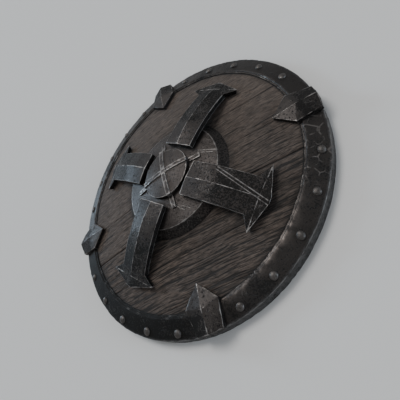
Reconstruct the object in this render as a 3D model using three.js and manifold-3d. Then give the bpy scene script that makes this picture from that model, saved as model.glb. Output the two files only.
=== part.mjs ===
// A round plank shield with steel fittings, lying on its back.
// Millimetres, +Z up. The origin is under the middle of the shield, on the surface that it lies on.
// +X runs along the planks, and the hand grip behind the boss runs along Y.

import * as THREE from 'three';
import { mergeVertices } from 'three/addons/utils/BufferGeometryUtils.js';
import { ConvexGeometry } from 'three/addons/geometries/ConvexGeometry.js';
import Module from 'manifold-3d';

const wasm = await Module();
wasm.setup();

// Driving dimensions of the rim: a folded steel band that holds the edge of the board
const rimRadius = 300;
const rimDepth = 20;
const rimFaceWidth = 35;
const rimFaceRise = 11.7;
const rimSheet = 2.5;
const rimFootWidth = 5.5;
const lipStep = 3.7;
const restRingWidth = 10;
const backFlangeWidth = 33;

// The board: planks bent to a shallow dome, with a hole for the hand
const boardCurve = 1690;
const boardThickness = 12;
const planksAcross = 8;
const outerPlankWidth = 57.2;
const seamGap = 1;
const handHoleRadius = 62;

// The boss: a plate with a low sloping wall, and the domed cap that closes its middle
const bossRadius = 126;
const bossWallRun = 16;
const bossWallHeight = 14.8;
const bossSlope = 0.177;
const bossSheet = 3;
const capRadius = 52;
const capWallHeight = 7.5;
const capRise = 5;
const capSheet = 3;
const capSeat = 7;
const bandWidth = 9;
const bandThickness = 2.4;
const bandReach = 78;

// The four arms: ridged straps folded from plate, bent down from the boss to the board
const armTurn = -41.8;
const armHalfWidth = 34;
const armFlareHalfWidth = 60;
const armPlate = 3;
const armSkirt = 10;
const armRidgeRise = 6;
const armRidgeEndRise = 3;
const armRidgeRun = 34;
const armCreaseRise = 4.5;
const armCurve = 430;
const armCapGap = 9.5;
const armEndMargin = 34.5;
const armPointLength = 19;
const armPointHalfWidth = 4.8;
const armFlareLength = 14;

// The four clasps that sit over the rim at the ends of the two middle lines of the board
const claspReach = 44;
const claspShoulder = 10;
const claspHalfWidth = 33;
const claspOuterHalfWidth = 25.6;
const claspTipHeight = 8;
const claspShoulderHeight = 8.5;
const claspPeakHeight = 10.8;
const claspOuterHeight = 8.5;
const claspOuterRidge = 8;
const claspOverhang = 1;
const claspNose = 3.3;

// The round-headed rivets, five between each two clasps, spaced by eye
const rivetHeadRadius = 7.5;
const rivetHeadHeight = 4;
const rivetShankRadius = 2.5;
const rivetShankLength = 10;
const rivetPitch = 14.4;
const rivetsInRow = 5;
const rivetRowTurns = [2.7, -1.5, 2.9, -4.2];
const rivetRowInsets = [19, 16, 11.5, 14];

// The wood behind: a hand grip across the hole and two battens that bind the planks
const gripLength = 300;
const gripWidth = 30;
const gripDepth = 21;
const gripRounding = 7;
const battenWidth = 26;
const battenThickness = 9;
const battenLength = 380;
const battenOffset = 150;

const fitGap = 0.3;
const beddingGap = 1;
const sides = 56;
const capSides = 32;
const smallSides = 8;

// Heights and radii that follow from those sizes
const rimFront = rimDepth;
const lipRadius = rimRadius - rimFaceWidth;
const footRadius = lipRadius - rimFootWidth;
const boardRadius = rimRadius - rimSheet - fitGap;
const lipHeight = rimFront + rimFaceRise;

function sagitta(curve, r) {
  return curve - Math.sqrt(curve * curve - r * r);
}

function boardTop(r) {
  return lipHeight - lipStep + sagitta(boardCurve, lipRadius) - sagitta(boardCurve, r);
}

function boardBack(r) {
  return boardTop(r) - boardThickness;
}

const bossEdgeRadius = bossRadius - bossWallRun;
const bossEdgeHeight = boardTop(bossRadius) + bossWallHeight;

function bossFace(r) {
  return bossEdgeHeight + (bossEdgeRadius - r) * bossSlope;
}

const capEdgeHeight = bossFace(capRadius) + fitGap + capWallHeight;
const capCurve = (capRadius ** 2 + capRise ** 2) / (2 * capRise);

function capTop(r) {
  return capEdgeHeight + capRise - sagitta(capCurve, r);
}

// Solids from three.js geometry, for joins and cuts
function toSolid(geometry) {
  const bare = geometry.clone();
  bare.deleteAttribute('normal');
  bare.deleteAttribute('uv');
  const merged = mergeVertices(bare, 1e-4);
  const vertProperties = new Float32Array(merged.attributes.position.array);
  const corner = new THREE.Vector3();
  const corners = [];
  for (let i = 0; i < merged.attributes.position.count; i++) {
    corners.push(corner.fromBufferAttribute(merged.attributes.position, i).clone());
  }
  const triangles = [];
  let volume = 0;
  const index = merged.index.array;
  for (let i = 0; i < index.length; i += 3) {
    const [a, b, c] = [index[i], index[i + 1], index[i + 2]];
    if (a === b || b === c || c === a) continue;
    triangles.push([a, b, c]);
    volume += corners[a].dot(corners[b].clone().cross(corners[c]));
  }
  const outward = volume < 0 ? triangles.map(([a, b, c]) => [a, c, b]) : triangles;
  const triVerts = new Uint32Array(outward.flat());
  return new wasm.Manifold(new wasm.Mesh({ numProp: 3, vertProperties, triVerts }));
}

function toGeometry(solid) {
  const mesh = solid.getMesh();
  const geometry = new THREE.BufferGeometry();
  geometry.setAttribute('position', new THREE.BufferAttribute(mesh.vertProperties, 3));
  geometry.setIndex(new THREE.BufferAttribute(mesh.triVerts, 1));
  geometry.computeVertexNormals();
  return geometry;
}

// A closed outline of [radius, height] points turned round the Z axis
function turned(outline, count = sides) {
  const points = outline.map(([r, z]) => new THREE.Vector2(r, z));
  const closed = outline[0][0] === 0 ? points : [...points, points[0]];
  return toSolid(new THREE.LatheGeometry(closed, count).rotateX(Math.PI / 2));
}

// A skin over sections with equal numbers of corners, closed with a fan at both ends
function loft(sections) {
  const count = sections[0].length;
  const positions = sections.flat(2);
  const triangles = [];
  for (let s = 0; s + 1 < sections.length; s++) {
    for (let i = 0; i < count; i++) {
      const near = s * count + i;
      const next = s * count + ((i + 1) % count);
      triangles.push(near, next, near + count, next, next + count, near + count);
    }
  }
  const last = (sections.length - 1) * count;
  for (let i = 1; i + 1 < count; i++) {
    triangles.push(0, i + 1, i, last, last + i, last + i + 1);
  }
  const geometry = new THREE.BufferGeometry();
  geometry.setAttribute('position', new THREE.Float32BufferAttribute(positions, 3));
  geometry.setIndex(triangles);
  return toSolid(geometry);
}

function box(low, high) {
  const size = high.map((value, i) => value - low[i]);
  const middle = high.map((value, i) => (value + low[i]) / 2);
  return toSolid(new THREE.BoxGeometry(...size).translate(...middle));
}

function range(count, from, to) {
  return Array.from({ length: count + 1 }, (_, i) => from + ((to - from) * i) / count);
}

const steel = new THREE.MeshStandardMaterial({ color: 0x3a3836, roughness: 0.55, metalness: 0.9 });
const darkSteel = new THREE.MeshStandardMaterial({ color: 0x2f2e2e, roughness: 0.6, metalness: 0.9 });
const board = new THREE.MeshStandardMaterial({ color: 0x4a3d34, roughness: 0.85, metalness: 0 });
const backWood = new THREE.MeshStandardMaterial({ color: 0x584638, roughness: 0.8, metalness: 0 });

const shield = new THREE.Group();

function place(name, solid, material) {
  const mesh = new THREE.Mesh(toGeometry(solid), material);
  mesh.name = name;
  shield.add(mesh);
  return mesh;
}

// The rim: a side wall, a sloping face with a step and a foot on the wood, and a flange behind
const faceSlope = rimFaceRise / rimFaceWidth;
const flangeRadius = rimRadius - backFlangeWidth;

function rimFace(r) {
  return rimFront + (rimRadius - r) * faceSlope;
}

function flangeTop(r) {
  return boardBack(r) - beddingGap;
}

const footTop = (r) => boardTop(r) + fitGap + rimSheet / 2;

const rimOutline = [
  [rimRadius, 0],
  [rimRadius, rimFront],
  [lipRadius, lipHeight],
  [lipRadius - rimSheet, lipHeight - rimSheet / 2],
  [lipRadius - rimSheet, footTop(lipRadius - rimSheet)],
  [footRadius, footTop(footRadius)],
  [footRadius, boardTop(footRadius) + fitGap],
  [lipRadius, boardTop(lipRadius) + fitGap],
  [lipRadius, rimFace(lipRadius) - rimSheet],
  [rimRadius - rimSheet, rimFace(rimRadius - rimSheet) - rimSheet],
  [rimRadius - rimSheet, rimSheet],
  [rimRadius - restRingWidth, rimSheet],
  [flangeRadius, flangeTop(flangeRadius)],
  [flangeRadius, flangeTop(flangeRadius) - rimSheet],
  [rimRadius - restRingWidth, 0],
];

// Rivets stand square to the sloping face of the rim, in rows set out by eye
const faceLean = Math.atan(faceSlope);

const rivetRowSpan = 360 / rivetRowTurns.length;

const rivetPlaces = rivetRowTurns.flatMap((turn, row) => {
  const radius = rimRadius - rivetRowInsets[row];
  const middle = (row + 0.5) * rivetRowSpan + turn;
  const reach = ((rivetsInRow - 1) / 2) * rivetPitch;
  return range(rivetsInRow - 1, middle - reach, middle + reach).map((degrees) => ({ degrees, radius }));
});

function onFace(geometry, { degrees, radius }, lift = 0) {
  return geometry
    .rotateY(faceLean)
    .translate(radius + lift * Math.sin(faceLean), 0, rimFace(radius) + lift * Math.cos(faceLean))
    .rotateZ(THREE.MathUtils.degToRad(degrees));
}

function rivetGeometry() {
  const headCurve = (rivetHeadRadius ** 2 + rivetHeadHeight ** 2) / (2 * rivetHeadHeight);
  const dome = range(2, rivetHeadRadius, 0).map(
    (r) => new THREE.Vector2(r, rivetHeadHeight - sagitta(headCurve, r)),
  );
  const outline = [
    new THREE.Vector2(0, -rivetShankLength),
    new THREE.Vector2(rivetShankRadius, -rivetShankLength),
    new THREE.Vector2(rivetShankRadius, 0),
    ...dome,
  ];
  return new THREE.LatheGeometry(outline, smallSides).rotateX(Math.PI / 2);
}

const shankHoleRadius = rivetShankRadius + fitGap;
const shankHoleDepth = rivetShankLength + fitGap;
const rivetHoles = rivetPlaces.map((spot) => {
  const hole = new THREE.CylinderGeometry(shankHoleRadius, shankHoleRadius, 2 * shankHoleDepth, smallSides);
  return toSolid(onFace(hole.rotateX(Math.PI / 2), spot));
});

function drilled(solid) {
  return rivetHoles.reduce((left, hole) => left.subtract(hole), solid);
}

place('rim', drilled(turned(rimOutline)), steel);

rivetPlaces.forEach((spot, i) => {
  place(`rivet_${i + 1}`, toSolid(onFace(rivetGeometry(), spot, fitGap)), steel);
});

// A slab between two lines along the planks, with its faces a set height above the board's own
function slab(low, high, above, below, reach) {
  const stations = range(10, -reach, reach);
  return loft(
    stations.map((x) => {
      const [lowZ, highZ] = [low, high].map((y) => boardTop(Math.hypot(x, y)));
      return [
        [x, low, lowZ + below],
        [x, high, highZ + below],
        [x, high, highZ + above],
        [x, low, lowZ + above],
      ];
    }),
  );
}

// Planks: the inner ones share the width between the two outer ones equally. They are cut to the
// round, thinned at the edge to go inside the rim, and drilled.
const innerReach = boardRadius - outerPlankWidth;
const innerSeams = range(planksAcross - 2, -innerReach, innerReach);
const seams = [-boardRadius - seamGap, ...innerSeams, boardRadius + seamGap];

function halfChord(y) {
  return Math.sqrt(Math.max(boardRadius ** 2 - y ** 2, 0));
}

const edgeCut = turned([
  [lipRadius - fitGap, rimFace(lipRadius) - rimSheet - fitGap],
  [rimRadius, rimFront - rimSheet - fitGap],
  [rimRadius, boardTop(0)],
  [lipRadius - fitGap, boardTop(0)],
]);
const boardRound = turned([
  [0, -rimDepth],
  [boardRadius, -rimDepth],
  [boardRadius, boardTop(0) + rimDepth],
  [0, boardTop(0) + rimDepth],
]);
const handHole = turned(
  [
    [0, -rimDepth],
    [handHoleRadius, -rimDepth],
    [handHoleRadius, boardTop(0) + rimDepth],
    [0, boardTop(0) + rimDepth],
  ],
  capSides,
);

for (let i = 0; i + 1 < seams.length; i++) {
  const low = Math.max(seams[i] + seamGap / 2, -boardRadius);
  const high = Math.min(seams[i + 1] - seamGap / 2, boardRadius);
  const reach = halfChord(Math.min(Math.abs(low), Math.abs(high))) + seamGap;
  const blank = slab(low, high, 0, -boardThickness, reach);
  place(`plank_${i + 1}`, drilled(blank.intersect(boardRound).subtract(edgeCut).subtract(handHole)), board);
}

// The boss plate, open in the middle under the cap
const bossHoleRadius = capRadius - capSeat;
const bossFoot = boardTop(bossRadius) + fitGap;
const wallShift = (bossSheet * Math.hypot(bossWallRun, bossWallHeight)) / bossWallHeight;
place(
  'boss_plate',
  turned([
    [bossRadius, bossFoot],
    [bossEdgeRadius, bossEdgeHeight],
    [bossHoleRadius, bossFace(bossHoleRadius)],
    [bossHoleRadius, bossFace(bossHoleRadius) - bossSheet],
    [bossEdgeRadius - bossSheet / 2, bossFace(bossEdgeRadius - bossSheet / 2) - bossSheet],
    [bossRadius - wallShift, boardTop(bossRadius - wallShift) + fitGap],
  ]),
  steel,
);

// The cap: a domed lid with a wall, crossed by two raised bands that run down to the boss plate
const capDome = range(4, capRadius, 0).map((r) => [r, capTop(r)]);
const capInside = range(2, 0, capRadius - capSheet).map((r) => [r, capTop(r) - capSheet]);
const capInnerRadius = capRadius - capSheet;
const capShell = turned(
  [
    ...capDome.reverse(),
    [capRadius, bossFace(capRadius) + fitGap],
    [capInnerRadius, bossFace(capInnerRadius) + fitGap],
    ...capInside.reverse(),
  ],
  capSides,
);

function bandSolid(degrees) {
  const outside = capRadius + bandThickness;
  const over = range(8, capRadius, -capRadius).map((r) => [r, capTop(Math.abs(r)) + bandThickness]);
  const under = range(8, -capInnerRadius, capInnerRadius).map((r) => [r, capTop(Math.abs(r)) - capSheet / 2]);
  const footTopAt = (r) => bossFace(r) + fitGap + bandThickness;
  const outline = [
    [bandReach, footTopAt(bandReach)],
    [outside, footTopAt(outside)],
    [outside, capTop(capRadius)],
    ...over,
    [-outside, capTop(capRadius)],
    [-outside, footTopAt(outside)],
    [-bandReach, footTopAt(bandReach)],
    [-bandReach, bossFace(bandReach) + fitGap],
    [-capInnerRadius, bossFace(capInnerRadius) + fitGap],
    ...under,
    [capInnerRadius, bossFace(capInnerRadius) + fitGap],
    [bandReach, bossFace(bandReach) + fitGap],
  ];
  const shape = new THREE.Shape(outline.map(([r, z]) => new THREE.Vector2(r, z)));
  const strip = new THREE.ExtrudeGeometry(shape, { depth: bandWidth, bevelEnabled: false });
  strip.translate(0, 0, -bandWidth / 2).rotateX(Math.PI / 2);
  return toSolid(strip.rotateZ(THREE.MathUtils.degToRad(degrees)));
}

place('boss_cap', capShell.add(bandSolid(0)).add(bandSolid(90)), steel);

// Everything that the arms and the clasps lie on, with the fitting gap over it
const bed = turned([
  [0, 0],
  [rimRadius + rimDepth, 0],
  [rimRadius + rimDepth, rimFront - claspOverhang],
  [rimRadius + fitGap, rimFront + fitGap],
  [lipRadius, lipHeight + fitGap],
  [lipRadius - rimSheet - fitGap, lipHeight + fitGap],
  [lipRadius - rimSheet - fitGap, footTop(lipRadius - rimSheet) + fitGap],
  [footRadius - fitGap, footTop(footRadius) + fitGap],
  ...range(5, footRadius - fitGap, bossRadius + fitGap).map((r) => [r, boardTop(r) + fitGap]),
  [bossEdgeRadius + fitGap, bossEdgeHeight + fitGap],
  [0, bossFace(0) + fitGap],
]);

// Arms: each lies on the boss plate at its inner end and on the board at its flared end
const armInner = capRadius + armCapGap;
const armOuter = footRadius - armEndMargin;
const armCrease = armOuter - armPointLength;
const armRoot = armCrease - armFlareLength;
const armInnerEdge = bossFace(armInner) + fitGap + armSkirt;
const armTipEdge = boardTop(Math.hypot(armCrease, armFlareHalfWidth)) + fitGap + armSkirt;
const armPointEdge = boardTop(armOuter) + fitGap + armSkirt;

// The height of an arm's long edges: an arc through its inner corner and its tip
function armEdge(along) {
  const [run, drop] = [armCrease - armInner, armInnerEdge - armTipEdge];
  const chord = Math.hypot(run, drop);
  const rise = Math.sqrt(armCurve ** 2 - (chord / 2) ** 2);
  const centreAlong = (armInner + armCrease) / 2 - (rise * drop) / chord;
  const centreHeight = (armInnerEdge + armTipEdge) / 2 - (rise * run) / chord;
  return centreHeight + Math.sqrt(armCurve ** 2 - (along - centreAlong) ** 2);
}

// The ridge starts low at the inner end and stands at its full height from a short way along
function armRise(along) {
  const share = Math.min((along - armInner) / armRidgeRun, 1);
  return armRidgeEndRise + (armRidgeRise - armRidgeEndRise) * share;
}

function armSection(along, halfWidth, edge, rise, bottom) {
  return [
    [along, -halfWidth, bottom],
    [along, halfWidth, bottom],
    [along, halfWidth, edge],
    [along, 0, edge + rise],
    [along, -halfWidth, edge],
  ];
}

function armStations(first) {
  return [first, ...range(5, armInner + armRidgeRun, armRoot)];
}

const armBody = loft([
  ...armStations(armInner).map((along) => {
    const edge = armEdge(along);
    return armSection(along, armHalfWidth, edge, armRise(along), edge - armSkirt);
  }),
  armSection(armCrease, armFlareHalfWidth, armTipEdge, armCreaseRise, armTipEdge - armSkirt),
  armSection(armOuter, armPointHalfWidth, armPointEdge, 0, armPointEdge - armSkirt),
]);
const armHollow = loft(
  armStations(armInner + armPlate).map((along) => {
    const edge = armEdge(along) - armPlate;
    return armSection(along, armHalfWidth - armPlate, edge, armRise(along), edge - 2 * armSkirt);
  }),
);
for (let i = 0; i < 4; i++) {
  const arm = armBody.subtract(armHollow).rotate([0, 0, armTurn + 90 * i]);
  place(`arm_${i + 1}`, arm.subtract(bed), darkSteel);
}

// Clasps: forged wedges, with a ridge from a point over the wood to a blunt nose past the rim's edge
const claspTip = footRadius - claspReach + rimFootWidth;
const claspShoulderRadius = lipRadius - claspShoulder;
const claspEnd = rimRadius + claspOverhang;
const claspFloor = rimFront - rimDepth / 2;

function claspBlank() {
  const across = (x, half, z) => [new THREE.Vector3(x, half, z), new THREE.Vector3(x, -half, z)];
  const shoulderHeight = boardTop(claspShoulderRadius) + claspShoulderHeight;
  const upper = [
    new THREE.Vector3(claspTip, 0, boardTop(claspTip) + claspTipHeight),
    ...across(claspShoulderRadius, claspHalfWidth, shoulderHeight),
    new THREE.Vector3(lipRadius, 0, lipHeight + claspPeakHeight),
    ...across(claspEnd, claspOuterHalfWidth, rimFront + claspOuterHeight),
    new THREE.Vector3(claspEnd + claspNose, 0, rimFront + claspOuterHeight + claspOuterRidge),
  ];
  const lower = [
    new THREE.Vector3(claspTip, 0, claspFloor),
    ...across(claspShoulderRadius, claspHalfWidth, claspFloor),
    ...across(claspEnd, claspOuterHalfWidth, claspFloor),
    new THREE.Vector3(claspEnd + claspNose, 0, claspFloor),
  ];
  return toSolid(new ConvexGeometry([...upper, ...lower]));
}

const clasp = claspBlank().subtract(bed);
for (let i = 0; i < 4; i++) {
  place(`clasp_${i + 1}`, clasp.rotate([0, 0, 90 * i]), steel);
}

// Wood behind the board: everything there is fitted to the hollow of the planks
function behindPlanks(top, bottom) {
  const reach = battenLength;
  const strips = seams.slice(1).map((high, i) => slab(seams[i], high, top, bottom, reach));
  return strips.reduce((all, strip) => all.add(strip));
}

const gripTop = boardBack(handHoleRadius) - fitGap;
const gripHalf = gripWidth / 2;
const gripOutline = new THREE.Shape();
gripOutline.moveTo(-gripHalf, gripTop);
gripOutline.lineTo(-gripHalf, gripTop - gripDepth + gripRounding);
gripOutline.quadraticCurveTo(-gripHalf, gripTop - gripDepth, -gripHalf + gripRounding, gripTop - gripDepth);
gripOutline.lineTo(gripHalf - gripRounding, gripTop - gripDepth);
gripOutline.quadraticCurveTo(gripHalf, gripTop - gripDepth, gripHalf, gripTop - gripDepth + gripRounding);
gripOutline.lineTo(gripHalf, gripTop);
const gripBar = new THREE.ExtrudeGeometry(gripOutline, {
  depth: gripLength,
  bevelEnabled: false,
  curveSegments: 4,
});
gripBar.translate(0, 0, -gripLength / 2).rotateX(Math.PI / 2);
const boardSpace = behindPlanks(rimDepth, -boardThickness - fitGap);
place('hand_grip', toSolid(gripBar).subtract(boardSpace), backWood);

const battenLayer = behindPlanks(-boardThickness - fitGap, -boardThickness - fitGap - battenThickness);
[-1, 1].forEach((side, i) => {
  const middle = side * battenOffset;
  const strip = box(
    [middle - battenWidth / 2, -battenLength / 2, -rimDepth],
    [middle + battenWidth / 2, battenLength / 2, boardTop(0)],
  );
  place(`batten_${i + 1}`, battenLayer.intersect(strip), backWood);
});

export default shield;
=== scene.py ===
import math

import bmesh
import bpy
import numpy as np
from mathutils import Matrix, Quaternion, Vector


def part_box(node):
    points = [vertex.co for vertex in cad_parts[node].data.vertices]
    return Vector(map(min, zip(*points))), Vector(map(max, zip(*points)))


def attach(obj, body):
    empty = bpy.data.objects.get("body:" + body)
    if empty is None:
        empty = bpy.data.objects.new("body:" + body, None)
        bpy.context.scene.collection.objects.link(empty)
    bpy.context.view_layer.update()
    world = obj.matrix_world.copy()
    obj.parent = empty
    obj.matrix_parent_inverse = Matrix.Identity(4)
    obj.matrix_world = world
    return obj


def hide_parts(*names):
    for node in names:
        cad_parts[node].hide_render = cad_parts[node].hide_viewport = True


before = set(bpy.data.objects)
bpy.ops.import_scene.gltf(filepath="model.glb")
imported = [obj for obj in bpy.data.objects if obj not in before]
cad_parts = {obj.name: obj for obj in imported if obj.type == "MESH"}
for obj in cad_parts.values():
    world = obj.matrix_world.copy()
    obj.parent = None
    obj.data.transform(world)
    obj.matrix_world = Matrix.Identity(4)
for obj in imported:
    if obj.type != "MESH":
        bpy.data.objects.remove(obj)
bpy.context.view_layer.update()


# Camera
# It looks down on the shield as it lies on its back, from the photo's side and at the photo's angle,
# and it is rolled as the photo was, so that the shield's face leans to the upper left.
eye = Vector((0.3098, -0.4468, 0.5062))
aim = Vector((0.0297, -0.0568, 0.0200))
camera_roll = math.radians(-58.05)
camera_lens = 31.99
camera_sensor = 36.0

camera = bpy.data.objects.new("camera", bpy.data.cameras.new("camera"))
camera.data.lens = camera_lens
camera.data.sensor_width = camera_sensor
camera.location = eye
camera.rotation_mode = "QUATERNION"
level = (aim - eye).to_track_quat("-Z", "Y")
camera.rotation_quaternion = level @ Quaternion((0, 0, 1), camera_roll)
bpy.context.scene.collection.objects.link(camera)
bpy.context.scene.camera = camera


# Rim
# One steel band, folded round the board's edge: a sloping face with a stepped lip on the wood, a side
# wall, and a flange behind. It was forged dark, and its folds are rubbed bright.
rim_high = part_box("rim")[1]
rim_radius = rim_high.x
lip_height = rim_high.z
rim_depth = 0.020
rim_face_width = 0.035
rim_sheet = 0.0025
rim_foot_width = 0.0055
rest_ring_width = 0.010
back_flange_width = 0.033
lip_step = 0.0037
fit_gap = 0.0003
bedding_gap = 0.001
board_curve = 1.690
board_thickness = 0.012
edge_rounding = 0.0009
rubbed_width = 0.0022
rubbed_fold_width = 0.0024

lip_radius = rim_radius - rim_face_width
foot_radius = lip_radius - rim_foot_width


def sagitta(curve, radius):
    return curve - np.sqrt(curve * curve - np.square(radius))


def board_top(radius):
    return lip_height - lip_step + sagitta(board_curve, lip_radius) - sagitta(board_curve, radius)


def board_back(radius):
    return board_top(radius) - board_thickness


def rim_face(radius):
    return rim_depth + (rim_radius - radius) * (lip_height - rim_depth) / rim_face_width


def foot_top(radius):
    return board_top(radius) + fit_gap + rim_sheet / 2


def random_field(points, size, seed):
    """Smooth random values from -1 to 1, with bumps about as long as size along each axis."""
    cell = points / np.asarray(size)
    base = np.floor(cell).astype(np.int64)
    part = cell - base
    part = part * part * (3 - 2 * part)
    total = np.zeros(len(points))
    for corner in np.ndindex(2, 2, 2):
        at = (base + corner) * (73856093, 19349663, 83492791)
        mixed = at[:, 0] ^ at[:, 1] ^ at[:, 2] ^ (seed * 668265263)
        mixed = ((mixed ^ (mixed >> 13)) * 1274126177) & 0xFFFFFFFF
        value = ((mixed ^ (mixed >> 16)) & 0xFFFF) / 32767.5 - 1
        total += value * np.prod(np.where(corner, part, 1 - part), axis=1)
    return total


def smooth_step(value, low, high):
    share = np.clip((value - low) / (high - low), 0, 1)
    return share * share * (3 - 2 * share)


def linked_piece(name, points, faces=()):
    mesh = bpy.data.meshes.new(name)
    mesh.from_pydata([tuple(p) for p in points], [], [tuple(f) for f in faces])
    piece = bpy.data.objects.new(name, mesh)
    bpy.context.scene.collection.objects.link(piece)
    return piece


def new_piece(name, points, faces):
    piece = linked_piece(name, points, faces)
    mesh = piece.data
    shape = bmesh.new()
    shape.from_mesh(mesh)
    bmesh.ops.remove_doubles(shape, verts=shape.verts, dist=1e-6)
    bmesh.ops.dissolve_degenerate(shape, edges=shape.edges, dist=1e-7)
    bmesh.ops.recalc_face_normals(shape, faces=shape.faces)
    shape.to_mesh(mesh)
    shape.free()
    return piece


def grid_faces(rows, columns, closed_rows=False, closed_columns=False):
    """The quads of a grid of points that are numbered row by row."""
    i = np.arange(rows if closed_rows else rows - 1)
    j = np.arange(columns if closed_columns else columns - 1)
    i, j = np.meshgrid(i, j, indexing="ij")
    next_i, next_j = (i + 1) % rows, (j + 1) % columns
    corners = [i * columns + j, i * columns + next_j, next_i * columns + next_j, next_i * columns + j]
    return np.stack([c.ravel() for c in corners], axis=1)


def spaced(outline, step):
    """A closed outline with points added, so that no stretch is longer than step."""
    points = []
    for start, end in zip(outline, outline[1:] + outline[:1]):
        start, end = np.array(start), np.array(end)
        count = max(1, math.ceil(np.linalg.norm(end - start) / step))
        points += [start + (end - start) * k / count for k in range(count)]
    return np.array(points)


def mirrored(values):
    """Places to both sides of 0, from 0 and the places on one side."""
    values = np.asarray(values)
    return np.concatenate([-values[:0:-1], values])


def turned_piece(name, outline, step, around):
    """A closed outline of radius and height turned round the Z axis."""
    section = spaced(outline, step)
    angles = np.linspace(0, math.tau, around, endpoint=False)
    radius, height = section[:, 0], section[:, 1]
    x = np.outer(np.cos(angles), radius)
    y = np.outer(np.sin(angles), radius)
    z = np.broadcast_to(height, x.shape)
    points = np.stack([x, y, z], axis=2).reshape(-1, 3)
    return new_piece(name, points, grid_faces(around, len(section), True, True))


def made_plain(piece):
    """Takes the result of a piece's modifiers as its mesh, and removes them."""
    bpy.context.view_layer.update()
    shown = piece.evaluated_get(bpy.context.evaluated_depsgraph_get())
    mesh = bpy.data.meshes.new_from_object(shown)
    piece.modifiers.clear()
    piece.data = mesh
    return piece


def round_edges(piece, width, least_angle, segments=2):
    bevel = piece.modifiers.new("rounded edges", "BEVEL")
    bevel.width = width
    bevel.segments = segments
    bevel.limit_method = "ANGLE"
    bevel.angle_limit = math.radians(least_angle)
    bevel.use_clamp_overlap = True
    return made_plain(piece)


def mesh_points(mesh, what="co"):
    values = np.empty(len(mesh.vertices) * 3)
    mesh.vertices.foreach_get(what, values)
    return values.reshape(-1, 3)


def off_axis(points):
    return np.hypot(points[:, 0], points[:, 1])


def set_marks(mesh, **marks):
    """Stores marks that the materials read: for each point a value, or one value for the whole piece."""
    for name, values in marks.items():
        held = mesh.attributes.get(name) or mesh.attributes.new(name, "FLOAT", "POINT")
        spread = np.broadcast_to(values, len(mesh.vertices))
        held.data.foreach_set("value", np.ascontiguousarray(spread, np.float32))


def outward_bend(mesh):
    """How far each point stands out from its neighbours: above 0 on an edge or a ridge."""
    points, normals = mesh_points(mesh), mesh_points(mesh, "normal")
    ends = np.empty(len(mesh.edges) * 2, np.int64)
    mesh.edges.foreach_get("vertices", ends)
    first, second = ends.reshape(-1, 2).T
    along = points[second] - points[first]
    along /= np.linalg.norm(along, axis=1)[:, None] + 1e-12
    bend = np.zeros(len(points))
    np.add.at(bend, first, -np.sum(along * normals[first], axis=1))
    np.add.at(bend, second, np.sum(along * normals[second], axis=1))
    return bend / np.maximum(np.bincount(ends, minlength=len(points)), 1)


def near_line(points, start, end, width):
    """1 on the line between two plan points, falling to 0 at a width from it."""
    start, run = np.array(start), np.subtract(end, start)
    away = points[:, :2] - start
    share = np.clip(away @ run / run.dot(run), 0, 1)
    return np.clip(1 - np.linalg.norm(away - share[:, None] * run, axis=1) / width, 0, 1)


def forge(piece, nodes, seed, dents=0.0005, dent_size=0.030, nicks=0.0007, worn=0, edge_wear=1):
    """Gives a steel piece its hammered unevenness and nicked edges, and marks where it is rubbed.
    The piece stays within the size of the nodes that it is fitted over."""
    mesh = piece.data
    points, normals = mesh_points(mesh), mesh_points(mesh, "normal")
    edges = edge_wear * smooth_step(outward_bend(mesh), 0.022, 0.080)
    depth = dents * random_field(points, dent_size, seed)
    depth += 0.4 * dents * random_field(points, dent_size / 3, seed + 1)
    depth -= nicks * edges * np.clip(random_field(points, 0.006, seed + 2) - 0.15, 0, 1)
    points += normals * depth[:, None]
    corners = np.array([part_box(node) for node in nodes])
    points = np.clip(points, corners[:, 0].min(0), corners[:, 1].max(0))
    mesh.vertices.foreach_set("co", points.ravel())
    set_marks(mesh, rubbed=np.maximum(edges, worn))
    smooth_shading(mesh)


def smooth_shading(mesh, sharp_from=38):
    mesh.polygons.foreach_set("use_smooth", np.ones(len(mesh.polygons), bool))
    mesh.set_sharp_from_angle(angle=math.radians(sharp_from))
    mesh.update()


def put(tree, kind, inputs, **settings):
    """Adds a node. An input is given a plain value, or the socket that feeds it."""
    made = tree.nodes.new(kind)
    for name, value in settings.items():
        setattr(made, name, value)
    for name, value in inputs.items():
        if isinstance(value, bpy.types.NodeSocket):
            tree.links.new(value, made.inputs[name])
        else:
            made.inputs[name].default_value = value
    return made


def calc(tree, operation, *values):
    return put(tree, "ShaderNodeMath", dict(enumerate(values)), operation=operation).outputs[0]


def vector_calc(tree, operation, *values):
    made = put(tree, "ShaderNodeVectorMath", dict(enumerate(values)), operation=operation)
    return made.outputs["Value" if operation in ("DOT_PRODUCT", "DISTANCE", "LENGTH") else "Vector"]


def scaled(tree, vector, share):
    return put(tree, "ShaderNodeVectorMath", {0: vector, "Scale": share}, operation="SCALE").outputs[0]


def parted(tree, vector):
    return put(tree, "ShaderNodeSeparateXYZ", {0: vector}).outputs


def joined(tree, x, y, z):
    return put(tree, "ShaderNodeCombineXYZ", {0: x, 1: y, 2: z}).outputs[0]


def ramp(tree, value, low, high, start=0.0, end=1.0):
    limits = {"Value": value, "From Min": low, "From Max": high, "To Min": start, "To Max": end}
    return put(tree, "ShaderNodeMapRange", limits).outputs[0]


def tint(tree, share, first, second):
    return put(tree, "ShaderNodeMix", {0: share, 6: first, 7: second}, data_type="RGBA").outputs[2]


def place_on_piece(tree):
    return tree.nodes.new("ShaderNodeTexCoord").outputs["Object"]


def mark(tree, name):
    return put(tree, "ShaderNodeAttribute", {}, attribute_name=name).outputs["Fac"]


def noise(tree, place, scale, detail=2.0, roughness=0.5):
    inputs = {"Vector": place, "Scale": scale, "Detail": detail, "Roughness": roughness}
    return put(tree, "ShaderNodeTexNoise", inputs).outputs["Fac"]


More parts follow.
